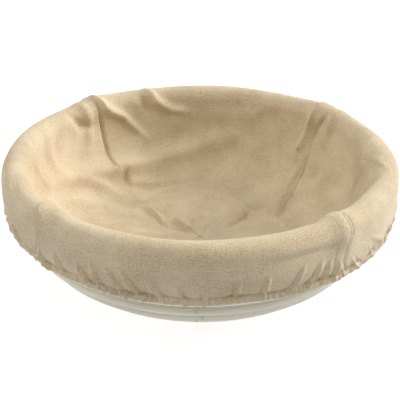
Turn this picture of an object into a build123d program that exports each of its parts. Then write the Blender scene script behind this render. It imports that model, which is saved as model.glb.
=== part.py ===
"""A round proofing basket of coiled rattan cane with its fitted cloth liner.

Millimetres, +Z up. The origin is at the middle of the underside, on the surface the basket stands on.
-Y is the front. The cane winds from the middle of the base outwards, then up the wall to the rim.
"""

from build123d import *
import math
import os

# Overall sizes of the coiled shell, all to the centreline of the cane.
rim_radius = 110.0
rim_height = 62.0
base_radius = 65.5
base_sweep = 22.0  # how far the wall runs on outwards before it starts to climb
wall_drop = 34.0  # how far the wall hangs straight down below the rim

# The rattan cane.
cane_diameter = 9.8
cane_gap = 0.15  # least gap between neighbouring turns
eye_hole = 0.6  # radius of the hole left inside the first half turn at the middle
sanding = 0.4  # depth of the flat sanded on the underside
joint_level = 4  # wall turn at which the lower cane ends and the upper cane begins
tail_arc = 125.0  # degrees of the last half turn, which is shaved to a taper
scarf_gap = 0.3
scarf_angle = 70.0  # degrees between the scarf cut and the cane's own cross section
scarf_azimuth = 112.0  # degrees from +X

# The wire staples that hold each turn to the next.
wire_diameter = 0.9
staple_leg = 6.0
staple_bend = 1.0
staple_stagger = 1.6  # neighbouring staples stand this far to either side of their line
staple_proud = 0.15  # how far the crown stands above the cane

# The liner.
cloth_thickness = 1.2
liner_gap = 0.6  # clearance between the cloth and the cane
eyelet_radius = 1.0  # where the points of the gores meet
skirt_drop = 25.0  # rim centreline to the middle of the hem casing
casing_radius = 2.2
elastic_diameter = 2.2
elastic_clearance = 0.2
thread_diameter = 0.7
seam_stitch = 4.0
seam_pitch = 7.0
seam_start = 10.0  # length of seam next to the middle that has no stitch
hem_stitch = 3.0
hem_stitches = 48
hem_stitch_lift = 1.0  # stitch line above the casing

# Four equal gores. The first seam is the rear right one, in degrees from +X, anticlockwise from above.
first_seam = 41.0
seam_names = ("rear_right", "rear_left", "front_left", "front_right")
gore_names = ("rear_gore", "left_gore", "front_gore", "right_gore")
gore_span = 360 / len(gore_names)

cane_radius = cane_diameter / 2
wire_radius = wire_diameter / 2
base_height = cane_radius - sanding
eye_radius = cane_radius + eye_hole
least_pitch = cane_diameter + cane_gap
wall_curve = Bezier(
    (base_radius, base_height),
    (base_radius + base_sweep, base_height),
    (rim_radius, rim_height - wall_drop),
    (rim_radius, rim_height),
)


def base_levels():
    """Centreline radius and height of each turn of the base, from the eye to the edge."""
    count = math.floor((base_radius - eye_radius) / least_pitch)
    pitch = (base_radius - eye_radius) / count
    return [(eye_radius + i * pitch, base_height) for i in range(count + 1)]


def wall_levels():
    """Centreline radius and height of each turn of the wall, from the base edge to the rim."""
    count = math.floor(wall_curve.length / least_pitch)
    points = [wall_curve.position_at(i / count) for i in range(count + 1)]
    return [(point.X, point.Y) for point in points]


def half_turn(start, end, heading, arc=180.0, radius=cane_radius):
    """A round bar bent from start to end, both in the XZ plane, that leaves along heading in Y."""
    middle = (start + end) / 2
    away = Vector(0, heading, 0)
    axis = Axis(middle, (start - middle).cross(away))
    section = Plane(origin=start, x_dir=(1, 0, 0), z_dir=away) * Circle(radius)
    return revolve(section, axis, revolution_arc=arc)


def front_half(level):
    """The level half turn across the front, from the -X side to the +X side."""
    radius, height = level
    return half_turn(Vector(-radius, 0, height), Vector(radius, 0, height), -1)


def rear_half(level, above, arc=180.0):
    """The half turn round the rear, which climbs from one level to the next."""
    start = Vector(level[0], 0, level[1])
    end = Vector(-above[0], 0, above[1])
    return half_turn(start, end, 1, arc)


def joined(bars):
    """Bars that meet end to end, as one solid."""
    first, *others = bars
    return first.fuse(*others) if others else first


def sanded(shape):
    """The shape with everything below the standing plane taken off."""
    size = 4 * rim_radius
    return shape - Pos(0, 0, -size / 2) * Box(size, size, size)


def base_cane(base):
    """The flat spiral, from its eye to the end of the front half of the outermost turn."""
    bars = []
    for level, above in zip(base, base[1:]):
        bars += [front_half(level), rear_half(level, above)]
    return sanded(joined(bars + [front_half(base[-1])]))


def lower_wall_cane(wall):
    """The cane that turns the base up into the wall."""
    bars = []
    for level, above in zip(wall[:joint_level], wall[1 : joint_level + 1]):
        bars += [rear_half(level, above), front_half(above)]
    return sanded(joined(bars))


def upper_wall_cane(wall):
    """The cane of the upright wall, whose last half turn is shaved to fit under the rim."""
    bars = []
    for level, above in zip(wall[joint_level:-2], wall[joint_level + 1 : -1]):
        bars += [rear_half(level, above), front_half(above)]
    tail = rear_half(wall[-2], wall[-1], tail_arc) - rim_ring(cane_radius + cane_gap)
    return joined(bars + [tail])


def rim_ring(radius):
    """A full level turn at the rim, of the given thickness."""
    return Pos(0, 0, rim_height) * Torus(rim_radius, radius)


def rim_cane():
    """The rim turn, bent from one length whose ends meet in a long scarf."""
    size = 3 * cane_diameter
    slit = Rot(0, 0, scarf_angle) * Box(scarf_gap, 10 * size, 2 * size)
    window = Box(4 * size, size, size)
    cut = Rot(0, 0, scarf_azimuth - 90) * Pos(0, rim_radius, rim_height) * (slit & window)
    return rim_ring(cane_radius) - cut


def turn_at(level, above, quarter):
    """Centre of a turn, and the way its cane runs, at the front, right, left or rear."""
    radius, height = level
    if quarter == "rear":
        across = (radius + above[0]) / 2
        rise = (above[1] - height) / 2
        return Vector((radius - above[0]) / 2, math.hypot(across, rise), height + rise), Vector(-1, 0, 0)
    if quarter == "front":
        return Vector(0, -radius, height), Vector(1, 0, 0)
    if quarter == "right":
        return Vector(radius, 0, height), Vector(0, 1, 0)
    return Vector(-radius, 0, height), Vector(0, -1, 0)


def staple(lower, upper, along, depth):
    """A U of wire with a leg in each of two turns and its crown depth out from their centres."""
    step = upper - lower
    outward = along.cross(step).normalized()
    corners = [lower + outward * depth, upper + outward * depth]
    tips = [corner - outward * staple_leg for corner in corners]
    path = FilletPolyline(tips[0], corners[0], corners[1], tips[1], radius=staple_bend)
    return sweep(Plane(origin=tips[0], z_dir=outward) * Circle(wire_radius), path=path)


def staple_row(levels, quarter, depth, side=1):
    """One line of staples across the levels, standing alternately either side of the line."""
    row = []
    for level, middle, above in zip(levels, levels[1:], levels[2:]):
        lower, along = turn_at(level, middle, quarter)
        upper, _ = turn_at(middle, above, quarter)
        shift = along * staple_stagger * side
        row.append(staple(lower + shift, upper + shift, along, depth))
        side = -side
    return row


def base_staples(base, wall):
    """The staples of the underside, from the first whole turn to the one that starts the wall.

    They are sunk a little way in from the sanded flat, so that the basket stands on its cane.
    """
    depth = base_height - wire_radius - staple_proud
    levels = base[1:] + wall[1:3]
    rows = [staple_row(levels, quarter, depth) for quarter in ("front", "right", "left", "rear")]
    return Compound(children=[one for row in rows for one in row])


def wall_staples(base, wall):
    """The staples up the outside of the wall, from where those of the underside end to the rim."""
    depth = cane_radius + staple_proud - wire_radius
    side = 1 if len(base) % 2 else -1
    rows = [staple_row(wall[1:], quarter, depth, side) for quarter in ("front", "right", "left")]
    rows.append(staple_row(wall[1:-1], "rear", depth, side))
    return Compound(children=[one for row in rows for one in row])


def rim_staples(wall):
    """The staples that hold the rim turn, all along its level front half."""
    depth = cane_radius + staple_proud - wire_radius
    lower, along = turn_at(wall[-2], wall[-1], "front")
    upper, _ = turn_at(wall[-1], wall[-1], "front")
    shift = along * staple_stagger * 2
    one = staple(lower + shift, upper + shift, along, depth)
    return Compound(children=[Rot(0, 0, turn) * one for turn in range(-75, 76, 25)])


def cloth_curve(offset):
    """The liner's path from the middle, over the rim and down to the hem, offset from the cane."""
    away = cane_radius + offset
    samples = 10
    points = []
    for i in range(samples + 1):
        point = wall_curve.position_at(i / samples)
        along = wall_curve.tangent_at(i / samples)
        points.append((point.X - along.Y * away, point.Y + along.X * away))
    floor = Line((eyelet_radius, base_height + away), points[0])
    wall = Spline(*points, tangents=[(1, 0), (0, 1)])
    rim = ThreePointArc(
        (rim_radius - away, rim_height), (rim_radius, rim_height + away), (rim_radius + away, rim_height)
    )
    skirt = Line((rim_radius + away, rim_height), (rim_radius + away, rim_height - skirt_drop))
    return floor + wall + rim + skirt


def casing_place():
    """Centre of the hem casing, whose inner side is flush with the inside of the skirt."""
    return rim_radius + cane_radius + liner_gap + casing_radius, rim_height - skirt_drop


def cloth_section():
    """Cross section of a gore, from the middle of the liner to the hem casing."""
    back = cloth_curve(liner_gap)
    face = cloth_curve(liner_gap + cloth_thickness)
    outline = back + face + Line(back @ 0, face @ 0) + Line(back @ 1, face @ 1)
    hole = elastic_diameter / 2 + elastic_clearance
    casing = Pos(*casing_place())
    return make_face(outline) + casing * Circle(casing_radius) - casing * Circle(hole)


def seam_angle(number):
    """Where a seam runs, which is also where the gore of the same number begins."""
    return first_seam + number * gore_span


def gore(number):
    """One gore of the liner, from its own seam to the next."""
    solid = revolve(Plane.XZ * cloth_section(), Axis.Z, revolution_arc=gore_span)
    return Rot(0, 0, seam_angle(number)) * solid


def hem_elastic():
    """The closed ring of elastic inside the casing."""
    radius, height = casing_place()
    return Pos(0, 0, height) * Torus(radius, elastic_diameter / 2)


def seam_thread(number):
    """The stitches of one seam, buried in the thickness of the two gores they join."""
    path = cloth_curve(liner_gap + cloth_thickness / 2)
    count = math.floor((path.length - seam_start - skirt_end()) / seam_pitch)
    stitch = Rot(90, 0, 0) * Cylinder(thread_diameter / 2, seam_stitch)
    places = []
    for i in range(count + 1):
        spot = path.position_at((seam_start + i * seam_pitch) / path.length)
        places.append(Pos(spot.X, 0, spot.Y) * stitch)
    return Compound(children=[Rot(0, 0, seam_angle(number)) * place for place in places])


def skirt_end():
    """Length at the lower end of a seam that the casing takes up."""
    return 2 * casing_radius + hem_stitch_lift


def hem_thread():
    """The stitches that close the casing, all round the skirt."""
    radius = rim_radius + cane_radius + liner_gap + cloth_thickness / 2
    height = rim_height - skirt_drop + casing_radius + hem_stitch_lift
    stitch = Pos(radius, 0, height) * Rot(90, 0, 0) * Cylinder(thread_diameter / 2, hem_stitch)
    step = 360 / hem_stitches
    return Compound(children=[Rot(0, 0, i * step) * stitch for i in range(hem_stitches)])


def model():
    """Every piece of the basket and its liner, by node name."""
    base = base_levels()
    wall = wall_levels()
    nodes = {
        "base_cane": base_cane(base),
        "lower_wall_cane": lower_wall_cane(wall),
        "upper_wall_cane": upper_wall_cane(wall),
        "rim_cane": rim_cane(),
        "base_staples": base_staples(base, wall),
        "wall_staples": wall_staples(base, wall),
        "rim_staples": rim_staples(wall),
        "hem_elastic": hem_elastic(),
        "hem_thread": hem_thread(),
    }
    nodes |= {name: gore(number) for number, name in enumerate(gore_names)}
    nodes |= {f"{name}_seam_thread": seam_thread(number) for number, name in enumerate(seam_names)}
    return nodes


os.makedirs("parts", exist_ok=True)
for node, shape in model().items():
    export_step(shape, f"parts/{node}.step")
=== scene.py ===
"""A round proofing basket of coiled rattan under its elasticated linen liner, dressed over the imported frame.

Lengths inside the classes are millimetres and become metres as each mesh is written. The basket stands on
z = 0 with -Y to the front. A place on the liner is an azimuth, in degrees anticlockwise from +X, and a path
length from the middle of the floor, up the wall, over the rim and down the skirt.
"""

import logging
import math
from dataclasses import dataclass, field
from enum import Enum
from typing import Any, Iterable, Sequence

import bpy
import numpy as np
from mathutils import Matrix, Vector


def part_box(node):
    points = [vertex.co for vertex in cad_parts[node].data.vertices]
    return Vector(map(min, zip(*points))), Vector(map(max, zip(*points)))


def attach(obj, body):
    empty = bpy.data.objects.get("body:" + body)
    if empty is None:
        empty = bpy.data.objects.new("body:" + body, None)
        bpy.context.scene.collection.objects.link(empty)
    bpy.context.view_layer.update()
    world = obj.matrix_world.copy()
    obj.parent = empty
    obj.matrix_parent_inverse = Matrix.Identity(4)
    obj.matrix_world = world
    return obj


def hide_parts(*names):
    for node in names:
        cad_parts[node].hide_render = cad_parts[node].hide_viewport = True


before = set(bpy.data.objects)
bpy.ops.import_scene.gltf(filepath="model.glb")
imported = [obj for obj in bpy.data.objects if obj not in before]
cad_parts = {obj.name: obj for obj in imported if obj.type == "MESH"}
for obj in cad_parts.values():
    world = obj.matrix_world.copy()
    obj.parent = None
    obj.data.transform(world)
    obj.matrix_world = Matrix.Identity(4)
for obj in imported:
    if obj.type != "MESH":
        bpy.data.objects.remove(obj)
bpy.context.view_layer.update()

MM = 0.001
CLOTH_CLEARANCE = 1.8
STITCH_LIFT = 0.02
LOG = logging.getLogger("basket")
Array = np.ndarray
Point = tuple[float, float]
Colour = tuple[float, float, float, float]
Material = bpy.types.Material
Piece = bpy.types.Object


class Slot(Enum):
    """The record's material slots, named for the kinds of piece made here."""

    RATTAN = "rattan"
    LINEN = "linen"
    THREAD = "thread"
    ELASTIC = "elastic"


class Crease(Enum):
    """How a fold's height falls away from its line."""

    SOFT = "soft"
    SHARP = "sharp"


# ---------------------------------------------------------------- node graphs


@dataclass(frozen=True)
class Wire:
    """A node's output, whose arithmetic adds Math nodes to its own graph."""

    graph: "Graph"
    node: bpy.types.Node
    pick: int | str = 0

    def __add__(self, other: Any) -> "Wire":
        """Sum."""
        return self.graph.maths("ADD", self, other)

    def __sub__(self, other: Any) -> "Wire":
        """Difference."""
        return self.graph.maths("SUBTRACT", self, other)

    def __rsub__(self, other: Any) -> "Wire":
        """Difference, from the other side."""
        return self.graph.maths("SUBTRACT", other, self)

    def __mul__(self, other: Any) -> "Wire":
        """Product."""
        return self.graph.maths("MULTIPLY", self, other)

    __radd__ = __add__

    def sine(self) -> "Wire":
        """Sine, in radians."""
        return self.graph.maths("SINE", self)

    def other(self, pick: int | str) -> "Wire":
        """Another output of the same node."""
        return Wire(self.graph, self.node, pick)

    def ramp(self, span: Point, ends: Point, easing: str = "LINEAR") -> "Wire":
        """The value carried from one span to another, and held beyond its ends.

        Args:
            span: The two values it starts from.
            ends: What they become.
            easing: How it runs between them.

        Returns:
            The new value.
        """
        names = ("From Min", "From Max", "To Min", "To Max")
        inputs = {"Value": self, **dict(zip(names, (*span, *ends)))}
        return self.graph.add("ShaderNodeMapRange", inputs, interpolation_type=easing)

    def step(self, low: float, high: float) -> "Wire":
        """Nought below low, one above high, and smooth between."""
        return self.ramp((low, high), (0.0, 1.0), "SMOOTHSTEP")


class Graph:
    """A node tree with short ways to add to it."""

    def __init__(self, tree: bpy.types.NodeTree) -> None:
        """Take a tree."""
        self.tree = tree

    def feed(self, socket: bpy.types.NodeSocket, value: Any) -> None:
        """Give a socket a link or a plain value.

        Args:
            socket: The input to fill.
            value: A Wire or a value.
        """
        if isinstance(value, Wire):
            self.tree.links.new(value.node.outputs[value.pick], socket)
        else:
            socket.default_value = value

    def add(self, kind: str, inputs: dict | None = None, pick: int | str = 0, **settings: Any) -> Wire:
        """Add one node.

        Args:
            kind: The node's type.
            inputs: Values or links by socket name or number.
            pick: Which output is wanted.
            **settings: Properties, set before the inputs.

        Returns:
            The output.
        """
        node = self.tree.nodes.new(kind)
        for key, value in settings.items():
            setattr(node, key, value)
        for key, value in (inputs or {}).items():
            self.feed(node.inputs[key], value)
        return Wire(self, node, pick)

    def maths(self, operation: str, *values: Any) -> Wire:
        """A Math node's result, from its inputs in order."""
        return self.add("ShaderNodeMath", dict(enumerate(values)), operation=operation)

    def axes(self, vector: Wire) -> tuple[Wire, Wire, Wire]:
        """A vector's three parts."""
        split = self.add("ShaderNodeSeparateXYZ", {0: vector})
        return split, split.other(1), split.other(2)

    def join(self, *parts: Any) -> Wire:
        """A vector from its three parts."""
        return self.add("ShaderNodeCombineXYZ", dict(enumerate(parts)))


class Pad(Graph):
    """The node tree of one material."""

    def __init__(self, name: str, even: dict[str, Any]) -> None:
        """Start a material with its principled shader.

        Args:
            name: The material's name.
            even: Shader inputs that are the same all over, by name.
        """
        self.material = bpy.data.materials.new(name)
        self.material.use_nodes = True
        super().__init__(self.material.node_tree)
        self.shader = self.tree.nodes["Principled BSDF"]
        for key, value in even.items():
            self.shader.inputs[key].default_value = value

    def place(self) -> Wire:
        """Object coordinates."""
        return self.add("ShaderNodeTexCoord", pick="Object")

    def stretch(self, vector: Wire, scale: Sequence[float]) -> Wire:
        """A vector multiplied axis by axis."""
        return self.add("ShaderNodeVectorMath", {0: vector, 1: scale}, operation="MULTIPLY")

    def noise(self, vector: Wire, scale: float, detail: float = 3.0, rough: float = 0.5) -> Wire:
        """Fractal noise about one half.

        Args:
            vector: Where it is read.
            scale: How fine it is.
            detail: How many octaves it has.
            rough: How strong the fine octaves are.

        Returns:
            The noise.
        """
        inputs = {"Vector": vector, "Scale": scale, "Detail": detail, "Roughness": rough}
        return self.add("ShaderNodeTexNoise", inputs, "Fac")

    def specks(self, vector: Wire, scale: float) -> tuple[Wire, Wire]:
        """Scattered points.

        Args:
            vector: Where they are read.
            scale: Cells to a unit.

        Returns:
            The distance from the nearest point, and that point's own random number.
        """
        distance = self.add("ShaderNodeTexVoronoi", {"Vector": vector, "Scale": scale}, "Distance")
        return distance, self.add("ShaderNodeSeparateColor", {"Color": distance.other("Color")})

    def blend(self, amount: Wire, low: Any, high: Any) -> Wire:
        """Two colours mixed, where an amount of nought is low and one is high."""
        return self.add("ShaderNodeMix", {0: amount, 6: low, 7: high}, 2, data_type="RGBA")

    def dress(self, colour: Wire, roughness: Any, height: Wire | None, depth: float) -> Material:
        """Fill the shader's changing inputs.

        Args:
            colour: Base colour.
            roughness: Roughness.
            height: Bump height, or None.
            depth: How deep a height of one is, in metres.

        Returns:
            The finished material.
        """
        self.feed(self.shader.inputs["Base Color"], colour)
        self.feed(self.shader.inputs["Roughness"], roughness)
        if height is not None:
            relief = self.add("ShaderNodeBump", {"Strength": 1.0, "Distance": depth, "Height": height})
            self.feed(self.shader.inputs["Normal"], relief)
        return self.material


def srgb(red: float, green: float, blue: float) -> Colour:
    """A display colour as the linear colour that shaders take.

    Args:
        red: Red, from 0 to 255.
        green: Green.
        blue: Blue.

    Returns:
        The linear colour, opaque.
    """
    shares = [channel / 255 for channel in (red, green, blue)]
    linear = [share / 12.92 if share <= 0.04045 else ((share + 0.055) / 1.055) ** 2.4 for share in shares]
    return (*linear, 1.0)


# ---------------------------------------------------------------- finishes


@dataclass(frozen=True)
class LinenCloth:
    """Unbleached plain weave: crossed threads, slubs, a mottled dye and dark flecks of husk."""

    name: str = "unbleached_linen"
    pale: Colour = srgb(224, 206, 174)
    deep: Colour = srgb(192, 170, 135)
    husk: Colour = srgb(120, 96, 66)
    thread_pitch: float = 0.46 * MM
    weave_depth: float = 0.12 * MM
    fleck_spacing: float = 9 * MM

    def material(self) -> Material:
        """Build the cloth's material.

        Returns:
            The material, which reads the cloth's own UV map.
        """
        pad = Pad(self.name, {"Sheen Weight": 0.25, "Sheen Roughness": 0.6, "Specular IOR Level": 0.25})
        flat = pad.add("ShaderNodeUVMap", uv_map="cut")
        across, along, _ = pad.axes(flat)
        turn = math.pi / self.thread_pitch
        weave = (across * turn).sine() * (along * turn).sine()
        ribs = (along * (2 * turn)).sine() * 0.35 + (across * (2 * turn)).sine() * 0.25
        weft_slubs = pad.noise(pad.stretch(flat, (170, 1700, 1)), 1.0, 2.0)
        warp_slubs = pad.noise(pad.stretch(flat, (1700, 170, 1)), 1.0, 2.0)
        slubs = weft_slubs.step(0.52, 0.74) + warp_slubs.step(0.54, 0.78) * 0.7
        mottle = pad.noise(flat, 38.0, 4.0, 0.6)
        fine = pad.noise(flat, 1000.0, 2.0, 0.8)
        tone = (mottle - 0.5) * 1.5 + (fine - 0.5) * 2.3 + slubs * 0.36 + 0.34 - weave * 0.08
        ground = pad.blend(tone.step(0.0, 1.0), self.pale, self.deep)
        distance, lot = pad.specks(flat, 1 / self.fleck_spacing)
        fleck = (1 - distance.step(0.03, 0.075)) * lot.step(0.5, 0.55)
        colour = pad.blend(fleck * 0.75, ground, self.husk)
        height = weave * 0.5 + ribs * 0.4 + slubs * 0.8 + fine * 0.6
        return pad.dress(colour, 0.92 - slubs * 0.05, height, self.weave_depth)


@dataclass(frozen=True)
class RattanCane:
    """Peeled cane: long open fibres, pale with straw streaks, and open pores."""

    name: str = "peeled_rattan"
    pale: Colour = srgb(244, 240, 226)
    straw: Colour = srgb(224, 216, 189)
    pore: Colour = srgb(150, 122, 84)
    fibre_depth: float = 0.3 * MM

    def material(self) -> Material:
        """Build the cane's material.

        Returns:
            The material, which reads the length along and the place around each cane.
        """
        pad = Pad(self.name, {"Specular IOR Level": 0.4})
        along = pad.add("ShaderNodeAttribute", pick="Fac", attribute_name="along")
        around = pad.add("ShaderNodeAttribute", pick="Vector", attribute_name="around")
        east, north, _ = pad.axes(around)
        place = pad.join(east * 3.0, north * 3.0, along * 14.0)
        fibres = pad.noise(pad.stretch(place, (5, 5, 1)), 1.0, 4.0, 0.65)
        streaks = pad.noise(pad.stretch(place, (0.8, 0.8, 0.35)), 1.0, 3.0)
        blotch = pad.noise(pad.stretch(place, (0.3, 0.3, 0.9)), 1.0, 2.0)
        pores = pad.noise(pad.stretch(place, (9, 9, 5)), 1.0, 2.0, 0.8)
        tone = (fibres - 0.5) * 1.6 + (streaks - 0.5) * 1.2 + (blotch - 0.5) * 0.7 + 0.42
        ground = pad.blend(tone.step(0.0, 1.0), self.pale, self.straw)
        colour = pad.blend(pores.step(0.68, 0.8) * 0.35, ground, self.pore)
        height = fibres - pores.step(0.62, 0.8) * 0.6
        return pad.dress(colour, 0.62 + (fibres - 0.5) * 0.3, height, self.fibre_depth)


@dataclass(frozen=True)
class StapleWire:
    """Galvanised wire, dull and a little spangled."""

    name: str = "galvanised_wire"
    bright: Colour = srgb(186, 181, 166)
    dull: Colour = srgb(140, 134, 118)
    spangle_depth: float = 0.03 * MM

    def material(self) -> Material:
        """Build the wire's material.

        Returns:
            The material, which reads Object coordinates.
        """
        pad = Pad(self.name, {"Metallic": 0.7})
        spangle = pad.noise(pad.place(), 1400.0, 3.0, 0.6)
        colour = pad.blend(spangle.step(0.35, 0.7), self.bright, self.dull)
        return pad.dress(colour, 0.38 + spangle * 0.25, spangle, self.spangle_depth)


@dataclass(frozen=True)
class TwistedYarn:
    """Plied cotton, for the sewing thread and for the elastic's covering."""

    name: str
    pale: Colour
    deep: Colour
    ply_pitch: float
    ply_depth: float = 0.12 * MM

    def material(self) -> Material:
        """Build the yarn's material.

        Returns:
            The material, which reads Object coordinates.
        """
        pad = Pad(self.name, {"Sheen Weight": 0.2})
        place = pad.place()
        east, north, up = pad.axes(place)
        ply = ((east + north + up) * (2 * math.pi / self.ply_pitch)).sine() * 0.5 + 0.5
        fuzz = pad.noise(place, 2500.0, 2.0)
        colour = pad.blend(ply * 0.6 + fuzz * 0.3, self.deep, self.pale)
        return pad.dress(colour, 0.85 - ply * 0.1, ply + fuzz * 0.5, self.ply_depth)


# ---------------------------------------------------------------- mesh helpers


def bezier(corners: Sequence[Point], count: int) -> Array:
    """Points along a cubic.

    Args:
        corners: Its four control points.
        count: How many points.

    Returns:
        The points, one row each.
    """
    share = np.linspace(0, 1, count)[:, None]
    a, b, c, d = (np.array(corner, float) for corner in corners)
    rest = 1 - share
    return rest**3 * a + 3 * rest**2 * share * b + 3 * rest * share**2 * c + share**3 * d


def bowl_wall(foot: Point, sweep: float, top: Point, drop: float, count: int) -> Array:
    """A wall that leaves its foot level, over a sweep, and reaches its top upright, over a drop."""
    return bezier((foot, (foot[0] + sweep, foot[1]), (top[0], top[1] - drop), top), count)


def arc(centre: Point, radius: float, first: float, last: float, count: int) -> Array:
    """Points along a circle's arc.

    Args:
        centre: Its centre.
        radius: Its radius.
        first: Where it starts, in degrees.
        last: Where it ends, in degrees.
        count: How many points.

    Returns:
        The points, one row each.
    """
    turn = np.radians(np.linspace(first, last, count))
    return np.column_stack([centre[0] + radius * np.cos(turn), centre[1] + radius * np.sin(turn)])


def lengths_along(curve: Array) -> Array:
    """How far each point of a curve is from its start, along it."""
    return np.concatenate([[0], np.cumsum(np.hypot(*np.diff(curve, axis=0).T))])


def eased(value: Array, low: float, high: float) -> Array:
    """Nought below low, one above high, and smooth between."""
    share = np.clip((value - low) / (high - low), 0, 1)
    return share * share * (3 - 2 * share)


def bump(distance: Array, width: float) -> Array:
    """A smooth bump, one in the middle, that falls away over a width."""
    return np.exp(-((distance / width) ** 2))


def turned(azimuth: Array, start: float) -> Array:
    """How far each azimuth is from a start, between half a turn back and half a turn on."""
    return (azimuth - start + 180) % 360 - 180


def write_mesh(name: str, points: Array, faces: Sequence = (), edges: Sequence = ()) -> Piece:
    """A smooth-shaded object in the shared frame.

    Args:
        name: The piece's name.
        points: Its points in millimetres.
        faces: Its faces, as numbers of points.
        edges: Its loose edges, as numbers of points.

    Returns:
        The new object.
    """
    mesh = bpy.data.meshes.new(name)
    mesh.from_pydata((points * MM).tolist(), edges, faces)
    mesh.shade_smooth()
    piece = bpy.data.objects.new(name, mesh)
    bpy.context.scene.collection.objects.link(piece)
    return piece


def write_line(name: str, points: Array, closed: bool = False) -> Piece:
    """A bare line of edges, for Geometry Nodes to build on.

    Args:
        name: The piece's name.
        points: Its points in millimetres.
        closed: Whether its ends join.

    Returns:
        The new object.
    """
    count = len(points)
    edges = [(i, (i + 1) % count) for i in range(count if closed else count - 1)]
    return write_mesh(name, points, edges=edges)


def grid_faces(grid: Array) -> list[list[int]]:
    """The faces between the neighbouring numbers of a grid.

    Args:
        grid: The numbers of its points.

    Returns:
        Four numbers to a face.
    """
    corners = [grid[:-1, :-1], grid[:-1, 1:], grid[1:, 1:], grid[1:, :-1]]
    return np.stack(corners, axis=-1).reshape(-1, 4).tolist()


def finish_piece(piece: Piece, material: Material, body: str, slot: Slot, nodes: Iterable[str]) -> Piece:
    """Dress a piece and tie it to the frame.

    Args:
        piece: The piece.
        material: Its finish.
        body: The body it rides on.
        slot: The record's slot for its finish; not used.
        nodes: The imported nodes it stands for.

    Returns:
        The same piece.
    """
    if not piece.data.materials:
        piece.data.materials.append(material)
    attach(piece, body)
    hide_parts(*nodes)
    LOG.info("%s: %d faces on %s", piece.name, len(piece.data.polygons), body)
    return piece


# ---------------------------------------------------------------- geometry nodes


class Recipe(Graph):
    """A Geometry Nodes tree with named sizes, run once on an object and made plain mesh."""

    def __init__(self, name: str, sizes: dict[str, float], material: Material) -> None:
        """Start the tree.

        Args:
            name: The tree's name.
            sizes: The named inputs and their values.
            material: What Set Material gives at the end.
        """
        super().__init__(bpy.data.node_groups.new(name, "GeometryNodeTree"))
        self.sizes = sizes
        self.material = material
        face = self.tree.interface
        face.new_socket("Geometry", in_out="INPUT", socket_type="NodeSocketGeometry")
        for size in sizes:
            face.new_socket(size, in_out="INPUT", socket_type="NodeSocketFloat")
        face.new_socket("Geometry", in_out="OUTPUT", socket_type="NodeSocketGeometry")
        self.source = self.add("NodeGroupInput", pick="Geometry")
        self.line = self.add("GeometryNodeMeshToCurve", {"Mesh": self.source})

    def close(self, geometry: Wire) -> "Recipe":
        """End the tree in Realize Instances and Set Material.

        Args:
            geometry: What the tree has made.

        Returns:
            The finished recipe.
        """
        real = self.add("GeometryNodeRealizeInstances", {"Geometry": geometry})
        dressed = self.add("GeometryNodeSetMaterial", {"Geometry": real, "Material": self.material})
        result = self.tree.nodes.new("NodeGroupOutput")
        self.feed(result.inputs[0], dressed)
        return self

    def bake(self, piece: Piece) -> Piece:
        """Run the tree on a piece and keep the result as its plain mesh.

        Args:
            piece: The piece whose mesh the tree reads.

        Returns:
            The same piece.
        """
        modifier = piece.modifiers.new(self.tree.name, "NODES")
        modifier.node_group = self.tree
        for item in self.tree.interface.items_tree:
            if item.in_out == "INPUT" and item.name in self.sizes:
                modifier[item.identifier] = float(self.sizes[item.name])
        graph = bpy.context.evaluated_depsgraph_get()
        made = bpy.data.meshes.new_from_object(piece.evaluated_get(graph), depsgraph=graph)
        piece.modifiers.remove(modifier)
        old = piece.data
        piece.data = made
        made.name = piece.name
        made.shade_smooth()
        bpy.data.meshes.remove(old)
        return piece


def stitch_recipe(name: str, pitch: float, length: float, width: float, material: Material) -> Recipe:
    """Stitches laid end to end along a line.

    Args:
        name: The tree's name.
        pitch: From one stitch to the next, in millimetres.
        length: One stitch's length.
        width: The thread's thickness.
        material: The thread's finish.

    Returns:
        The recipe, ready to bake.
    """
    recipe = Recipe(name, {"Pitch": pitch * MM, "Length": length * MM, "Width": width * MM}, material)
    spaced = {"Curve": recipe.line, "Length": recipe.source.other("Pitch")}
    wide = recipe.source.other("Width")
    facing = {"Vector": recipe.add("GeometryNodeInputTangent")}
    laid = {
        "Points": recipe.add("GeometryNodeResampleCurve", spaced, mode="LENGTH"),
        "Instance": recipe.add("GeometryNodeMeshUVSphere", {"Segments": 6, "Rings": 5, "Radius": 0.5}),
        "Rotation": recipe.add("FunctionNodeAlignRotationToVector", facing, axis="Z"),
        "Scale": recipe.join(wide, wide, recipe.source.other("Length")),
    }
    return recipe.close(recipe.add("GeometryNodeInstanceOnPoints", laid))


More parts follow.
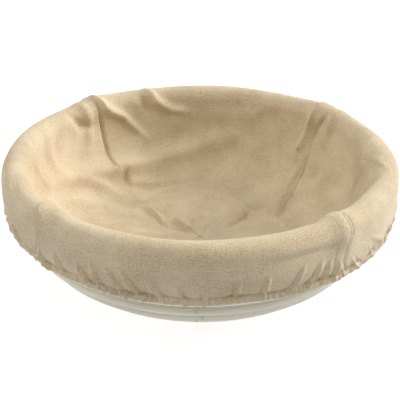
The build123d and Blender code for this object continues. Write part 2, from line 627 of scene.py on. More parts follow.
def cane_recipe(radius: float, floor: float, seed: float, material: Material) -> Recipe:
    """A round cane swept along a line, a little uneven, and sanded flat below.

    Args:
        radius: The cane's radius, in millimetres.
        floor: The height below which it is sanded away.
        seed: Where in the noise this cane is read.
        material: The cane's finish.

    Returns:
        The recipe, ready to bake.
    """
    sizes = {"Radius": radius * MM, "Unevenness": 0.16 * MM, "Floor": floor * MM, "Seed": seed}
    recipe = Recipe("cane_sweep", sizes, material)
    add, size = recipe.add, recipe.source.other
    girth = add("GeometryNodeInputNamedAttribute", {"Name": "girth"}, data_type="FLOAT")
    sized = add("GeometryNodeSetCurveRadius", {"Curve": recipe.line, "Radius": girth})
    length = add("GeometryNodeSplineParameter", pick="Length")
    marked = add(
        "GeometryNodeStoreNamedAttribute",
        {"Geometry": sized, "Name": "along", "Value": length},
        data_type="FLOAT",
        domain="POINT",
    )
    ring = add("GeometryNodeCurvePrimitiveCircle", {"Resolution": 20, "Radius": size("Radius")})
    outward = add("ShaderNodeVectorMath", {0: add("GeometryNodeInputPosition")}, operation="NORMALIZE")
    profile = add(
        "GeometryNodeStoreNamedAttribute",
        {"Geometry": ring, "Name": "around", "Value": outward},
        data_type="FLOAT_VECTOR",
        domain="POINT",
    )
    swept = add("GeometryNodeCurveToMesh", {"Curve": marked, "Profile Curve": profile, "Fill Caps": True})
    read = {"Vector": add("GeometryNodeInputPosition"), "W": size("Seed"), "Scale": 55.0, "Detail": 2.0}
    swell = (add("ShaderNodeTexNoise", read, noise_dimensions="4D") - 0.5) * size("Unevenness")
    normal = add("GeometryNodeInputNormal")
    push = add("ShaderNodeVectorMath", {0: normal, "Scale": swell}, operation="SCALE")
    uneven = add("GeometryNodeSetPosition", {"Geometry": swept, "Offset": push})
    east, north, up = recipe.axes(add("GeometryNodeInputPosition"))
    held = recipe.join(east, north, recipe.maths("MAXIMUM", up, size("Floor")))
    return recipe.close(add("GeometryNodeSetPosition", {"Geometry": uneven, "Position": held}))


# ---------------------------------------------------------------- the coiled shell


@dataclass
class CoiledShell:
    """The cane of the base, the wall and the rim, and the staples that hold its turns together.

    Its turns follow the rule that the frame is made by: half turns that are level across the front and climb
    round the rear.
    """

    cane_radius: float
    rim_radius: float
    rim_height: float
    base_radius: float
    base_height: float
    base_sweep: float = 22.0
    wall_drop: float = 34.0
    least_gap: float = 0.15
    eye_radius: float = 5.5
    joint_level: int = 4
    tail_arc: float = 125.0
    scarf_azimuth: float = 112.0
    scarf_gap: float = 0.4
    thinnest: float = 0.08
    cane_play: float = 0.05
    seed_step: float = 3.7
    step: float = 4.0
    wall: list[Point] = field(default_factory=list)
    base: list[Point] = field(default_factory=list)

    def __post_init__(self) -> None:
        """Work out the turns from the overall sizes."""
        pitch = 2 * self.cane_radius + self.least_gap
        foot, top = (self.base_radius, self.base_height), (self.rim_radius, self.rim_height)
        curve = bowl_wall(foot, self.base_sweep, top, self.wall_drop, 400)
        length = lengths_along(curve)
        turns = math.floor(length[-1] / pitch)
        spots = np.linspace(0, length[-1], turns + 1)
        radii, heights = np.interp(spots, length, curve[:, 0]), np.interp(spots, length, curve[:, 1])
        self.wall = list(zip(radii.tolist(), heights.tolist()))
        rounds = math.floor((self.base_radius - self.eye_radius) / pitch)
        radii = np.linspace(self.eye_radius, self.base_radius, rounds + 1)
        self.base = [(float(radius), self.base_height) for radius in radii]

    @classmethod
    def from_frame(cls) -> "CoiledShell":
        """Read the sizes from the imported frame.

        Returns:
            The shell.
        """
        low, high = (np.array(corner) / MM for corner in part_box("rim_cane"))
        radius = (high[2] - low[2]) / 2
        _, base_high = (np.array(corner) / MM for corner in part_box("base_cane"))
        return cls(
            cane_radius=radius,
            rim_radius=high[0] - radius,
            rim_height=(high[2] + low[2]) / 2,
            base_radius=base_high[0] - radius,
            base_height=base_high[2] - radius,
        )

    def half_turn(self, start: Array, end: Array, heading: int, sweep: float = 180.0) -> Array:
        """Points of a half turn between two places on the XZ plane.

        Args:
            start: Where it leaves from.
            end: Where a full half turn arrives.
            heading: The way it leaves, +1 or -1 in Y.
            sweep: Degrees of it to make.

        Returns:
            The points, without the last one of a full half turn.
        """
        middle = (start + end) / 2
        arm = start - middle
        reach = np.linalg.norm(arm)
        count = max(12, int(math.pi * reach / self.step))
        turn = np.radians(np.linspace(0, sweep, count, endpoint=sweep < 180))[:, None]
        away = np.array([0.0, heading, 0.0])
        return middle + arm * np.cos(turn) + away * reach * np.sin(turn)

    def front(self, level: Point) -> Array:
        """The level half turn across the front."""
        radius, height = level
        return self.half_turn(np.array([-radius, 0, height]), np.array([radius, 0, height]), -1)

    def rear(self, level: Point, above: Point, sweep: float = 180.0) -> Array:
        """The climbing half turn round the rear."""
        start, end = np.array([level[0], 0, level[1]]), np.array([-above[0], 0, above[1]])
        return self.half_turn(start, end, 1, sweep)

    def base_line(self) -> Array:
        """Centreline of the base cane."""
        runs = []
        for level, above in zip(self.base, self.base[1:]):
            runs += [self.front(level), self.rear(level, above)]
        end = np.array([[self.base[-1][0], 0, self.base_height]])
        return np.vstack([*runs, self.front(self.base[-1]), end])

    def wall_line(self, first: int, last: int, tail: bool) -> Array:
        """Centreline of a wall cane.

        Args:
            first: The level it starts from.
            last: The level it climbs to.
            tail: Whether a last part turn runs out under the rim.

        Returns:
            The points.
        """
        runs = []
        for level, above in zip(self.wall[first:last], self.wall[first + 1 : last + 1]):
            runs += [self.rear(level, above), self.front(above)]
        end = self.wall[last]
        if tail:
            runs.append(self.rear(end, self.wall[last + 1], self.tail_arc))
        else:
            runs.append(np.array([[end[0], 0, end[1]]]))
        return np.vstack(runs)

    def shaved(self, line: Array) -> tuple[Array, Array]:
        """Thin a cane where it runs in under the rim turn.

        Args:
            line: The cane's centreline.

        Returns:
            The centreline of what is left, and its girth as a share of the whole cane.
        """
        flat = np.hypot(line[:, 0], line[:, 1])
        away = np.stack([flat - self.rim_radius, line[:, 2] - self.rim_height], axis=-1)
        gap = np.maximum(np.hypot(away[:, 0], away[:, 1]), 1e-3)
        share = np.clip((gap - self.least_gap) / (2 * self.cane_radius), self.thinnest, 1.0)
        push = away / gap[:, None] * ((1 - share) * self.cane_radius)[:, None]
        moved = line.copy()
        moved[:, :2] *= (1 + push[:, 0] / flat)[:, None]
        moved[:, 2] += push[:, 1]
        return moved, share

    def rim_line(self) -> Array:
        """Centreline of the rim turn, whose ends meet at the scarf."""
        gap = math.degrees(self.scarf_gap / self.rim_radius)
        first, last = self.scarf_azimuth + gap, self.scarf_azimuth + 360 - gap
        ring = arc((0, 0), self.rim_radius, first, last, int(2 * math.pi * self.rim_radius / self.step))
        return np.column_stack([ring, np.full(len(ring), self.rim_height)])

    def build(self, cane: Material, wire: Material) -> None:
        """Make the canes and dress the staples.

        Args:
            cane: The cane's finish.
            wire: The staples' finish.
        """
        top = len(self.wall) - 1
        lines = {
            "base_cane": self.base_line(),
            "lower_wall_cane": self.wall_line(0, self.joint_level, False),
            "upper_wall_cane": self.wall_line(self.joint_level, top - 1, True),
            "rim_cane": self.rim_line(),
        }
        for number, (node, line) in enumerate(lines.items()):
            girth = np.ones(len(line))
            if node == "upper_wall_cane":
                line, girth = self.shaved(line)
            piece = write_line(f"{node}_wound", line)
            piece.data.attributes.new("girth", "FLOAT", "POINT").data.foreach_set("value", girth)
            cane_recipe(self.cane_radius - self.cane_play, 0.0, self.seed_step * number, cane).bake(piece)
            finish_piece(piece, cane, "basket", Slot.RATTAN, [node])
        for node in ("base_staples", "wall_staples", "rim_staples"):
            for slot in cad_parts[node].material_slots:
                slot.material = wire
            LOG.info("%s: dressed in wire", node)


# ---------------------------------------------------------------- the liner


@dataclass(frozen=True)
class Fold:
    """One ridge or crease in the cloth.

    Attributes:
        line: Its points, each an azimuth in degrees and a path length in millimetres.
        height: How far its crest stands off the cloth; a crease is negative.
        width: How wide it is, in millimetres.
        crease: How its height falls away.
    """

    line: tuple[Point, ...]
    height: float
    width: float
    crease: Crease = Crease.SOFT

    def lift(self, azimuth: Array, along: Array, radius: Array) -> Array:
        """How far this fold lifts each point of the cloth.

        Args:
            azimuth: Each point's azimuth, in degrees.
            along: Each point's path length.
            radius: Each point's distance from the axis.

        Returns:
            The lift, in millimetres.
        """
        best = np.full(azimuth.shape, np.inf)
        share = np.zeros(azimuth.shape)
        spans = len(self.line) - 1
        for number, (start, end) in enumerate(zip(self.line, self.line[1:])):
            east = turned(azimuth, start[0]) * np.pi / 180 * radius
            north = along - start[1]
            over = turned(end[0], start[0]) * np.pi / 180 * radius
            up = end[1] - start[1]
            at = np.clip((east * over + north * up) / np.maximum(over**2 + up**2, 1e-6), 0, 1)
            gap = np.hypot(east - at * over, north - at * up)
            near = gap < best
            best = np.where(near, gap, best)
            share = np.where(near, (number + at) / spans, share)
        fade = np.sin(np.pi * np.clip(share, 0.04, 0.96)) ** 0.6
        if self.crease is Crease.SHARP:
            return self.height * fade * np.exp(-best / self.width)
        return self.height * fade * bump(best, self.width)


@dataclass
class Liner:
    """The four gores, the thread of their seams, and the elastic hem."""

    rim_radius: float
    rim_height: float
    floor_height: float
    first_seam: float = 41.0
    roll: float = 7.7
    floor_radius: float = 62.0
    floor_sweep: float = 20.0
    wall_drop: float = 34.0
    skirt_drop: float = 24.0
    hem_draw: float = 1.4
    casing_radius: float = 2.1
    allowance: float = 2.2
    thickness: float = 0.8
    fold_strength: float = 1.45
    least_inside: float = -1.1
    least_outside: float = -2.4
    least_blend: float = 0.5
    hem_setback: float = 3.2
    elastic_radius: float = 0.95
    columns: int = 292
    seed: int = 11
    path: Array = field(default_factory=lambda: np.zeros((0, 2)))
    length: Array = field(default_factory=lambda: np.zeros(0))
    marks: dict[str, float] = field(default_factory=dict)

    seam_names: tuple[str, ...] = ("rear_right", "rear_left", "front_left", "front_right")
    gore_names: tuple[str, ...] = ("rear_gore", "left_gore", "front_gore", "right_gore")

    def __post_init__(self) -> None:
        """Work out the cloth's path, from the middle of the floor to the turned-up edge of the hem."""
        inner, outer = self.rim_radius - self.roll, self.rim_radius + self.roll
        floor = np.column_stack([np.linspace(0.6, self.floor_radius, 60), np.full(60, self.floor_height)])
        foot, top = (self.floor_radius, self.floor_height), (inner, self.rim_height)
        wall = bowl_wall(foot, self.floor_sweep, top, self.wall_drop, 140)
        roll = arc((self.rim_radius, self.rim_height), self.roll, 180, 0, 60)
        hem = self.hem_radius()
        low = self.rim_height - self.skirt_drop
        drawn = ((outer, self.rim_height), (outer + 0.6, low + 12), (hem + 1.4, low + 6), (hem, low))
        skirt = bezier(drawn, 60)
        casing = arc((hem - self.casing_radius, low), self.casing_radius, 0, -170, 40)
        back = hem - 2 * self.thickness - 0.5
        bend = (hem - 2 * self.casing_radius, low + 2.2)
        tucked = bezier((tuple(casing[-1]), bend, (back, low + 2), (back, low + self.allowance)), 20)
        runs = [floor, wall[1:], roll[1:], skirt[1:], casing[1:], tucked[1:]]
        self.path = np.vstack(runs)
        self.length = lengths_along(self.path)
        ends = np.cumsum([len(run) for run in runs]) - 1
        for name, end in zip(("floor", "wall", "roll", "skirt", "casing", "edge"), ends):
            self.marks[name] = float(self.length[end])

    def hem_radius(self) -> float:
        """Outside radius of the hem, drawn in by the elastic."""
        return self.rim_radius + self.roll - self.hem_draw

    def rows(self) -> Array:
        """Path lengths of the cloth's rows, closest where the folds are finest."""
        spacing = {"floor": 1.5, "wall": 1.25, "roll": 1.4, "skirt": 0.8, "casing": 0.75, "edge": 1.1}
        rows, start = [np.array([0.0])], 0.0
        for name, gap in spacing.items():
            end = self.marks[name]
            count = max(2, round((end - start) / gap))
            rows.append(np.linspace(start, end, count + 1)[1:])
            start = end
        return np.concatenate(rows)

    def path_at(self, along: Array) -> tuple[Array, Array]:
        """Radius and height of the path."""
        return tuple(np.interp(along, self.length, self.path[:, axis]) for axis in (0, 1))

    def frame_at(self, along: Array) -> tuple[Array, Array, Array, Array]:
        """The path and the way the cloth faces.

        Args:
            along: Path lengths.

        Returns:
            Radius, height, and the two parts of the outward direction, radial and upward.
        """
        radius, height = self.path_at(along)
        ahead, behind = self.path_at(along + 0.4), self.path_at(along - 0.4)
        slope_r, slope_z = ahead[0] - behind[0], ahead[1] - behind[1]
        size = np.hypot(slope_r, slope_z)
        out, up = -slope_z / size, slope_r / size
        below = along > self.marks["roll"]
        return radius, height, np.where(below, 1.0, out), np.where(below, 0.0, up)

    def seam_angle(self, number: int) -> float:
        """Azimuth of a seam, which is where the gore of the same number begins."""
        return self.first_seam + 90.0 * (number % 4)

    def seam_line(self, number: int, along: Array) -> Array:
        """Azimuth of a sewn seam, which wanders a little where the cloth is pulled over the rim.

        Args:
            number: Which seam.
            along: Path lengths.

        Returns:
            The azimuths, in degrees.
        """
        wander = (
            ((112, 0), (124, -1.2), (138, -3.6), (148, -2.6), (160, -1.2), (186, -0.6)),
            ((94, 0), (126, 0.3), (140, 1.0), (148, 1.8), (160, 1.0), (186, 0.4)),
            ((110, 0), (136, -1.2), (144, -2.2), (149, -0.4), (154, 1.8), (160, 3.0), (186, 2.4)),
            ((110, 0), (136, 1.0), (146, 1.5), (156, 0.8), (163, -0.6), (186, -1.0)),
        )[number % 4]
        marks, shifts = zip(*wander)
        return self.seam_angle(number) + 360.0 * (number // 4) + np.interp(along, marks, shifts)

    def pouch_folds(self) -> list[Fold]:
        """The folds of the floor and the inside wall."""
        sharp = Crease.SHARP
        return [
            Fold(((43, 150), (42.6, 139), (44.4, 127), (45.4, 113)), 1.4, 2.1),
            Fold(((34, 148), (33.5, 134), (35, 121)), 1.6, 3.4),
            Fold(((37.8, 150), (37.2, 138), (40.2, 128), (41.8, 113)), -1.3, 1.7, sharp),
            Fold(((45.5, 119), (46.2, 110), (44.6, 100)), 3.0, 2.4),
            Fold(((38.5, 122), (34.5, 114), (32.2, 104), (34, 93)), -1.4, 3.6),
            Fold(((28, 122), (25.5, 108), (27, 94)), 1.6, 4.6),
            Fold(((43.2, 106), (43.2, 88), (39.6, 69), (27, 52)), 2.2, 2.0),
            Fold(((41.2, 107), (40.0, 87), (35.6, 68.5), (22.5, 50)), -2.0, 0.8, sharp),
            Fold(((132.5, 151), (129.2, 137), (122, 129), (113, 110)), 2.4, 2.8),
            Fold(((138, 147), (137, 128), (140, 114)), 1.6, 4.0),
            Fold(((145, 140), (141, 130), (134, 127)), -1.5, 3.0),
            Fold(((132.2, 149), (131.5, 126), (131.2, 105), (131, 92)), -2.4, 0.7, sharp),
            Fold(((110.5, 146), (107.5, 135), (102, 129), (94, 126)), 2.4, 2.8),
            Fold(((114, 141), (111, 130), (104, 124)), -1.2, 2.4),
            Fold(((170, 109), (150, 98), (134, 92), (114, 91), (95, 98), (77, 109)), 4.4, 7.0),
            Fold(((128.5, 91), (129.6, 77), (117, 71), (99, 71)), -3.4, 3.0),
            Fold(((126.2, 90), (128.8, 74)), -3.0, 1.1, sharp),
            Fold(((128.8, 76), (116, 71.5), (104, 72)), -2.4, 1.0, sharp),
            Fold(((152, 96), (142, 84), (136, 70)), 2.2, 4.0),
            Fold(((166, 92), (158, 78), (150, 64)), 1.8, 5.0),
            Fold(((137, 56), (115, 52.5), (88, 55.5), (66, 52), (42, 42)), 2.6, 2.8),
            Fold(((136, 48), (140, 38), (147, 27)), 3.4, 2.4),
            Fold(((139.3, 43.5), (144, 33.5), (153, 24)), -4.4, 0.9, sharp),
            Fold(((153, 26), (136, 22.5), (131, 17), (118, 6)), 3.2, 1.7),
            Fold(((158, 21), (146, 15), (150, 6)), -2.6, 0.9, sharp),
            Fold(((100, 20), (112, 14), (130, 13)), -2.2, 0.9, sharp),
            Fold(((70, 30), (84, 24), (104, 22)), 1.4, 2.6),
            Fold(((47, 43), (47.5, 31), (44, 19)), 3.4, 2.4),
            Fold(((41.5, 41), (39.5, 31), (33.5, 19)), -4.2, 0.9, sharp),
            Fold(((42.5, 41), (25, 49.0), (8, 57)), 3.0, 1.8),
            Fold(((36, 46), (22, 52.5), (8, 61)), -1.8, 1.0, sharp),
            Fold(((200, 32), (225, 20), (262, 26)), 2.6, 2.8),
            Fold(((218, 62), (221, 42), (225, 18)), -3.0, 1.0, sharp),
            Fold(((212, 58), (214, 42), (212, 26)), 2.4, 2.8),
            Fold(((310, 64), (311, 40), (311, 16)), -3.0, 1.0, sharp),
            Fold(((300, 46), (316, 34), (340, 30)), 2.6, 2.6),
            Fold(((255, 62), (275, 50), (292, 57)), 2.4, 3.0),
            Fold(((158, 142), (163, 126), (160, 108)), 1.2, 4.2),
            Fold(((173, 145), (177, 128), (172, 108)), 1.3, 3.6),
            Fold(((187, 147), (184, 132), (190, 112)), 1.2, 3.4),
            Fold(((11, 146), (5, 128), (8, 106)), 1.7, 2.6),
            Fold(((359, 149), (351, 134), (347, 116)), 1.9, 2.2),
            Fold(((349, 147), (342, 132), (340, 114)), 1.5, 2.2),
            Fold(((60, 141), (68, 128), (86, 121)), 1.0, 6.0),
            Fold(((225, 140), (236, 120), (252, 108)), 2.2, 4.6),
            Fold(((300, 138), (290, 118), (270, 104)), 2.0, 5.0),
            Fold(((222, 146), (221.5, 120), (221, 88)), -2.2, 0.8, sharp),
            Fold(((312, 146), (311.5, 120), (311, 88)), -2.2, 0.8, sharp),
        ]

    def skirt_folds(self) -> list[Fold]:
        """The folds of the rim and the upper skirt."""
        return [
            Fold(((196, 150), (208, 154), (221, 158)), 1.3, 1.7),
            Fold(((200, 163), (211, 168), (222, 176)), 1.7, 1.5),
            Fold(((203, 169), (212, 175), (219, 181)), -1.2, 1.2),
            Fold(((288, 162), (298, 160.5), (308, 161)), -0.9, 1.5),
            Fold(((286, 158), (298, 156.5), (309, 157)), 0.6, 1.8),
            Fold(((230, 160), (246, 164), (264, 164)), 0.6, 2.6),
            Fold(((268, 167), (284, 169), (296, 166)), 0.5, 2.4),
            Fold(((346, 148), (353, 142), (2, 137)), 1.0, 1.5),
            Fold(((322, 168), (328, 174), (331, 181)), 1.3, 1.6),
        ]

    def pleats(self) -> list[Fold]:
        """The gathers that run up from the hem, leaning away from the middle of the front."""
        draw = np.random.default_rng(self.seed)
        hem = self.marks["skirt"]
        placed = [
            (226.5, -3.0, 10.0), (232.4, -3.2, 13.0), (240.5, -3.2, 12.5), (244.5, -2.8, 14.0),
            (251.5, -5.8, 15.5), (256.4, -6.4, 14.5), (262.0, -5.4, 12.5), (266.5, -2.4, 8.0),
            (271.0, 0.8, 7.0), (278.0, 2.0, 12.0), (286.0, 1.4, 13.0), (292.0, 5.4, 14.5),
            (297.4, 5.2, 13.5), (303.0, 2.2, 12.0), (307.0, 1.2, 10.0),
        ]
        azimuth = 312.0
        while azimuth < 583.0:
            lean = draw.uniform(-5.5, 5.5)
            placed.append((azimuth % 360, lean, draw.uniform(7.0, 15.0)))
            azimuth += draw.uniform(4.2, 8.0)
        folds = []
        for foot, lean, reach in placed:
            seen = 226 < foot < 312
            height = draw.uniform(1.3, 2.1) if seen else draw.uniform(0.7, 1.3)
            width = draw.uniform(0.75, 1.05)
            side = 1.0 if lean < 0 else -1.0
            middle = (foot + lean * 0.62 + draw.uniform(-0.4, 0.4), hem - reach * 0.5)
            folds.append(Fold(((foot, hem + 2.5), middle, (foot + lean, hem - reach - 1)), height, width))
            trough = foot + side * 1.25
            inner = (middle[0] + side * 1.15, middle[1])
            folds.append(Fold(((trough, hem - 1), inner, (trough + lean, hem - reach)), -0.9, 0.9))
        return folds

    def looseness(self, azimuth: Array, along: Array) -> Array:
        """The broad, uneven slack of the cloth.

        Args:
            azimuth: Each point's azimuth, in degrees.
            along: Each point's path length.

        Returns:
            The lift, in millimetres.
        """
        draw = np.random.default_rng(self.seed + 1)
        angle = np.radians(azimuth)
        total = np.zeros(azimuth.shape)
        for order in (3, 5, 8, 11, 14, 19, 26):
            phase, drift = draw.uniform(0, 2 * np.pi, 2)
            rate = draw.uniform(0.03, 0.09)
            wave = np.sin(order * angle + phase + rate * along)
            total += wave * np.cos(rate * 1.7 * along + drift) / order**0.6
        wall = eased(along, 50, 75) * (1 - eased(along, self.marks["wall"] - 16, self.marks["wall"] + 6))
        floor = (1 - eased(along, 48, 66)) * eased(along, 12, 48)
        skirt = eased(along, self.marks["roll"] - 4, self.marks["roll"] + 8)
        return total * (0.95 * wall + 0.8 * floor + 0.16 * skirt) + 2.0 * wall + 1.8 * floor

    def rim_swell(self, azimuth: Array, along: Array) -> Array:
        """How the roll of cloth over the rim stands out at the seams.

        Args:
            azimuth: Each point's azimuth, in degrees.
            along: Each point's path length.

        Returns:
            The lift, in millimetres.
        """
        over = eased(along, self.marks["wall"] - 14, self.marks["wall"] + 4)
        over = over * (1 - eased(along, self.marks["roll"], self.marks["roll"] + 16))
        total = np.zeros(azimuth.shape)
        for number, (height, width) in enumerate(((1.5, 7.0), (1.7, 6.0), (0.9, 5.0), (1.7, 5.0))):
            total += height * bump(turned(azimuth, self.seam_angle(number)), width)
        return total * over + 0.25 * np.sin(np.radians(azimuth) * 9 + along * 0.05) * over

    def ruche(self, azimuth: Array, along: Array) -> Array:
        """The fine puffs that the elastic draws up along the hem.

        Args:
            azimuth: Each point's azimuth, in degrees.
            along: Each point's path length.

        Returns:
            The lift, in millimetres.
        """
        hem = self.marks["skirt"]
        angle = np.radians(azimuth)
        warp = 0.35 * np.sin(angle * 11 + 1.3) + 0.22 * np.sin(angle * 29 + 0.4) + 0.3 * np.sin(angle * 5)
        fine = np.abs(np.sin(angle * 96 + warp * 6 + 0.06 * along)) ** 0.6
        coarse = np.abs(np.sin(angle * 46 + warp * 5 + 2.1)) ** 0.6
        ruffled = bump(turned(azimuth, 303), 13)
        strength = 0.8 + 0.25 * np.sin(angle * 3 + 0.8) + 0.15 * np.sin(angle * 7 + 2.0)
        near = eased(along, hem - 4.2, hem - 0.8)
        near = near * (1 - eased(along, hem + 0.8, self.marks["casing"] - 2.4))
        puffs = (1.5 - 0.6 * ruffled) * (fine - 0.6) + (0.4 + 1.2 * ruffled) * (coarse - 0.6)
        return near * strength * puffs

    def neck(self, azimuth: Array, along: Array) -> Array:
        """How the skirt sinks in just above the casing.

        Args:
            azimuth: Each point's azimuth, in degrees.
            along: Each point's path length.

        Returns:
            The lift, in millimetres, which is negative.
        """
        angle = np.radians(azimuth)
        depth = 1.0 + 0.3 * np.sin(angle * 13 + 0.7) + 0.3 * np.sin(angle * 31 + 2.0)
        place = self.marks["skirt"] - 3.4 + 0.3 * np.sin(angle * 19)
        return -depth * bump(along - place, 1.25)

    def seam_step(self, azimuth: Array, along: Array, number: int) -> Array:
        """How a gore's sewn edges turn in, and how the front gore stands over its neighbours.

        Args:
            azimuth: Each point's azimuth, in degrees.
            along: Each point's path length.
            number: Which gore.

        Returns:
            The lift, in millimetres.
        """
        radius = np.maximum(self.frame_at(along)[0], 4.0)
        start = (azimuth - self.seam_line(number, along)) * np.pi / 180 * radius
        end = (self.seam_line(number + 1, along) - azimuth) * np.pi / 180 * radius
        outside = eased(along, self.marks["wall"] - 8, self.marks["wall"] + 4)
        groove = -0.6 * np.exp(-np.abs(start) / 0.7) - 0.6 * np.exp(-np.abs(end) / 0.7)
        if number != 2:
            shadow = np.exp(-np.abs(start if number == 3 else end) / 0.9)
            return groove - (1.0 * outside * shadow if number in (1, 3) else 0)
        left = 1.3 * (1 - eased(start, 0.0, 10.0)) * eased(start, -0.4, 0.6)
        lap = 0.9 * (1 - eased(end, 3.0, 14.0)) * eased(end, -0.4, 0.5)
        ridge = 0.2 * bump(end - 1.0, 0.6) - 0.3 * bump(end - 2.1, 0.5) - 0.16 * bump(end - 7.9, 0.6)
        return groove * (1 - outside) + outside * (left + lap + ridge)

    def surface(self, azimuth: Array, along: Array, number: int, lift: float = 0.0) -> Array:
        """Where points of the cloth lie.

        Args:
            azimuth: Each point's azimuth, in degrees.
            along: Each point's path length.
            number: Which gore.
            lift: How far above the cloth's face, in millimetres.

        Returns:
            The points, with x, y and z last.
        """
        radius, height, out, up = self.frame_at(along)
        wide = np.maximum(radius, 2.0)
        rise = self.looseness(azimuth, along) + self.rim_swell(azimuth, along)
        rise = rise + self.ruche(azimuth, along) + self.neck(azimuth, along)
        for fold in self.pouch_folds():
            rise = rise + self.fold_strength * fold.lift(azimuth, along, wide)
        for fold in self.skirt_folds() + self.pleats():
            rise = rise + fold.lift(azimuth, along, wide)
        rise = rise * eased(along, 0, 9) + self.seam_step(azimuth, along, number)
        low = np.where(along < self.marks["wall"], self.least_inside, self.least_outside)
        rise = low + self.least_blend * np.logaddexp(0, (rise - low) / self.least_blend) + lift
        angle = np.radians(azimuth)
        droop = self.hem_waver(azimuth) * eased(along, self.marks["roll"] + 4, self.marks["skirt"])
        reach = radius + out * rise
        return np.stack([reach * np.cos(angle), reach * np.sin(angle), height + up * rise + droop], axis=-1)

    def hem_waver(self, azimuth: Array) -> Array:
        """How the hem rises and falls round the basket."""
        angle = np.radians(azimuth)
        return 0.9 * np.sin(angle * 2 + 0.6) + 0.5 * np.sin(angle * 5 + 1.0) + 0.25 * np.sin(angle * 17)

    def gore(self, number: int, linen: Material) -> Piece:
        """One gore, from the middle of the floor to the turned-up edge of the hem.

        Args:
            number: Which gore.
            linen: The cloth's finish.

        Returns:
            The finished piece.
        """
        node = self.gore_names[number]
        rows = self.rows()
        tuck = 0.25
        share = np.linspace(0, 1, self.columns)[:, None]
        start, end = self.seam_line(number, rows) - tuck, self.seam_line(number + 1, rows) + tuck
        azimuth = start + (end - start) * share
        along = np.broadcast_to(rows, azimuth.shape)
        points = self.surface(azimuth, along, number)
        across, down = azimuth.shape
        faces = grid_faces(np.arange(across * down).reshape(across, down))
        piece = write_mesh(f"{node}_cloth", points.reshape(-1, 3), faces)
        self.mark_cut(piece, azimuth, along, number)
        self.thicken(piece)
        finish_piece(piece, linen, "liner", Slot.LINEN, [node])
        wide = math.radians(90) * (self.rim_radius + self.roll)
        flat = float(np.trapz(self.path_at(rows)[0] * math.radians(90), rows))
        round(wide * 1.12 * MM, 4)
        return piece

    def mark_cut(self, piece: Piece, azimuth: Array, along: Array, number: int) -> None:
        """Give a gore the UV map of its flat cut, in metres.

        Args:
            piece: The gore.
            azimuth: Its points' azimuths.
            along: Its points' path lengths.
            number: Which gore.
        """
        middle = self.seam_angle(number) + 45
        radius = self.path_at(along)[0]
        across = (azimuth - middle) * np.pi / 180 * (0.35 * radius + 0.65 * self.rim_radius)
        cut = np.stack([across * MM + number * 0.37, along * MM + number * 0.21], axis=-1).reshape(-1, 2)
        layer = piece.data.uv_layers.new(name="cut")
        corners = np.zeros(len(piece.data.loops), np.int32)
        piece.data.loops.foreach_get("vertex_index", corners)
        layer.data.foreach_set("uv", cut[corners].astype(np.float32).ravel())

    def thicken(self, piece: Piece) -> None:
        """Give a sheet the cloth's thickness, on its hidden side.

        Args:
            piece: The sheet.
        """
        solid = piece.modifiers.new("cloth thickness", "SOLIDIFY")
        solid.thickness = self.thickness * MM
        solid.offset = -1.0

    def seam_thread(self, number: int, material: Material) -> Piece:
        """The topstitching of one seam.

        Args:
            number: Which seam.
            material: The thread's finish.

        Returns:
            The finished piece.
        """
        gore, side, setback = ((0, 1, 1.5), (1, 1, 1.5), (2, 1, 1.5), (2, -1, 7.8))[number]
        along = np.arange(12.0, self.marks["skirt"] - 1.5, 1.0)
        radius = self.path_at(along)[0]
        azimuth = self.seam_line(number, along) + side * np.degrees(setback / np.maximum(radius, 14.0))
        laid = self.surface(azimuth, along, gore, STITCH_LIFT)
        piece = write_line(f"{self.seam_names[number]}_stitching", laid)
        stitch_recipe("seam_stitches", 2.6, 2.1, 0.34, material).bake(piece)
        node = f"{self.seam_names[number]}_seam_thread"
        return finish_piece(piece, material, "liner", Slot.THREAD, [node])

    def hem_thread(self, material: Material) -> Piece:
        """The stitching that closes the hem's casing.

        Args:
            material: The thread's finish.

        Returns:
            The finished piece.
        """
        along = np.full(180, self.marks["skirt"] - self.hem_setback)
        share = np.linspace(0, 1, 180, endpoint=False)
        runs = []
        for gore in range(4):
            start, end = self.seam_line(gore, along), self.seam_line(gore + 1, along)
            runs.append(self.surface(start + (end - start) * share, along, gore, STITCH_LIFT))
        piece = write_line("hem_stitching", np.vstack(runs), closed=True)
        stitch_recipe("hem_stitches", 2.4, 1.9, 0.36, material).bake(piece)
        return finish_piece(piece, material, "liner", Slot.THREAD, ["hem_thread"])

    def hem_elastic(self, material: Material) -> Piece:
        """The covered elastic inside the casing.

        Args:
            material: The elastic's finish.

        Returns:
            The finished piece.
        """
        turns, sides = 288, 10
        azimuth = np.arange(turns) * 360 / turns
        angle = np.radians(azimuth)
        ruche = self.ruche(azimuth, np.full(turns, self.marks["skirt"]))
        centre = self.hem_radius() - self.casing_radius + 0.6 * ruche
        low = self.rim_height - self.skirt_drop + self.hem_waver(azimuth)
        around = np.arange(sides) * 2 * np.pi / sides
        radius = centre[:, None] + self.elastic_radius * np.cos(around)
        height = low[:, None] + self.elastic_radius * np.sin(around)
        east, north = radius * np.cos(angle)[:, None], radius * np.sin(angle)[:, None]
        points = np.stack([east, north, height], axis=-1)
        ring = np.pad(np.arange(turns * sides).reshape(turns, sides), (0, 1), mode="wrap")
        piece = write_mesh("hem_elastic_cord", points.reshape(-1, 3), grid_faces(ring.T))
        return finish_piece(piece, material, "liner", Slot.ELASTIC, ["hem_elastic"])

    def build(self, linen: Material, yarn: Material, cord: Material) -> None:
        """Make every piece of the liner.

        Args:
            linen: The cloth's finish.
            yarn: The thread's finish.
            cord: The elastic's finish.
        """
        for number in range(4):
            self.gore(number, linen)
        for number in range(4):
            self.seam_thread(number, yarn)
        self.hem_thread(yarn)
        self.hem_elastic(cord)


# ---------------------------------------------------------------- the studio


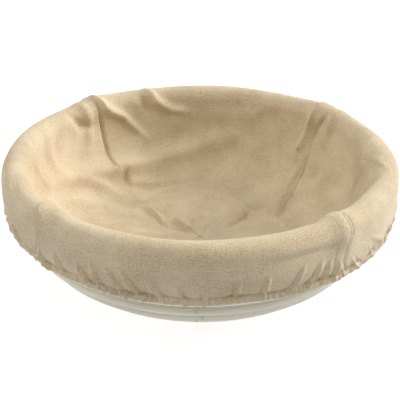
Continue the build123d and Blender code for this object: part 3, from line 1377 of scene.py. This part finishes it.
@dataclass
class Studio:
    """A pale floor, soft light and the camera."""

    aim_radius: float
    aim_height: float
    elevation: float = 25.0
    distance_ratio: float = 5.0
    lens: float = 88.0
    tilt: float = 2.18
    roll: float = 0.3
    sky_strength: float = 0.15
    bounce_side: float = 0.45
    bounce_below: float = 1.15
    floor_glow: float = 0.75

    def camera(self) -> None:
        """Set the camera in front of the basket, above its rim."""
        data = bpy.data.cameras.new("camera")
        data.lens = self.lens
        data.sensor_width = 36.0
        data.clip_start, data.clip_end = 0.01, 20.0
        eye = bpy.data.objects.new("camera", data)
        reach = self.distance_ratio * self.aim_radius * MM
        rise = math.radians(self.elevation)
        place = (0.0, -reach * math.cos(rise), self.aim_height * MM + reach * math.sin(rise))
        pitch = math.radians(90 - self.elevation - self.tilt)
        turn = Matrix.Rotation(pitch, 4, "X") @ Matrix.Rotation(math.radians(self.roll), 4, "Z")
        eye.matrix_world = Matrix.Translation(place) @ turn
        bpy.context.scene.collection.objects.link(eye)
        bpy.context.scene.camera = eye

    def sun(self, name: str, toward: Sequence[float], power: float, spread: float, blue: float) -> None:
        """Add a broad soft light from far off.

        Args:
            name: Its name.
            toward: The way to it from the basket.
            power: What a pale surface that faces it takes from it, where 1 is plain white.
            spread: How wide it is, in degrees.
            blue: How much blue its warm white has, of 1.
        """
        data = bpy.data.lights.new(name, "SUN")
        data.energy = power * math.pi
        data.angle = math.radians(spread)
        data.color = (1.0, 0.99, blue)
        light = bpy.data.objects.new(name, data)
        light.matrix_world = Vector(toward).to_track_quat("Z", "Y").to_matrix().to_4x4()
        bpy.context.scene.collection.objects.link(light)

    def floor(self) -> None:
        """Lay the floor."""
        half = 4000.0
        corners = np.array([(-half, -half, 0), (half, -half, 0), (half, half, 0), (-half, half, 0)])
        sheet = write_mesh("floor", corners, [(0, 1, 2, 3)])
        glow = {"Emission Color": srgb(255, 255, 255), "Emission Strength": self.floor_glow}
        pad = Pad("pale_floor", glow)
        grain = pad.noise(pad.place(), 40.0, 3.0)
        sheet.visible_diffuse = False
        tint = pad.blend(grain * 0.1, srgb(178, 178, 178), srgb(168, 168, 168))
        sheet.data.materials.append(pad.dress(tint, 0.9, None, 0))

    def sky(self) -> None:
        """Fill the room with even light, faint from above and strong from below, as off a white table."""
        world = bpy.data.worlds.new("studio")
        world.use_nodes = True
        room = Graph(world.node_tree)
        back = room.tree.nodes["Background"]
        back.inputs["Color"].default_value = srgb(255, 255, 255)
        _, _, up = room.axes(room.add("ShaderNodeTexCoord", pick="Generated"))
        table = up.ramp((-1.0, -0.05), (self.bounce_below - self.bounce_side, 0.0))
        horizon = up.ramp((-0.05, 0.05), (self.bounce_side, self.sky_strength))
        room.feed(back.inputs["Strength"], table + horizon)
        bpy.context.scene.world = world

    def build(self) -> None:
        """Set up the whole studio."""
        self.camera()
        self.floor()
        self.sky()
        self.sun("right_softbox", (0.82, 0.3, 0.42), 1.1, 38.0, 0.97)
        self.sun("left_softbox", (-0.85, 0.2, 0.35), 0.34, 50.0, 0.98)
        self.sun("top_softbox", (0.0, -0.3, 1.0), 0.46, 50.0, 0.96)
        LOG.info("studio: floor, sky, lamps and camera")


def main() -> None:
    """Build the studio, then the basket in order."""
    logging.basicConfig(level=logging.INFO, format="%(name)s %(message)s")
    bpy.context.scene.view_settings.view_transform = "Standard"
    shell = CoiledShell.from_frame()
    floor_height = shell.base_height + shell.cane_radius + CLOTH_CLEARANCE
    liner = Liner(shell.rim_radius, shell.rim_height, floor_height)
    studio = Studio(shell.rim_radius + liner.roll, shell.rim_height)
    studio.build()
    shell.build(RattanCane().material(), StapleWire().material())
    yarn = TwistedYarn("cotton_thread", srgb(226, 212, 184), srgb(190, 170, 134), 0.5 * MM)
    cord = TwistedYarn("elastic_cover", srgb(238, 234, 224), srgb(205, 200, 188), 0.9 * MM)
    liner.build(LinenCloth().material(), yarn.material(), cord.material())


if __name__ == "__main__":
    main()
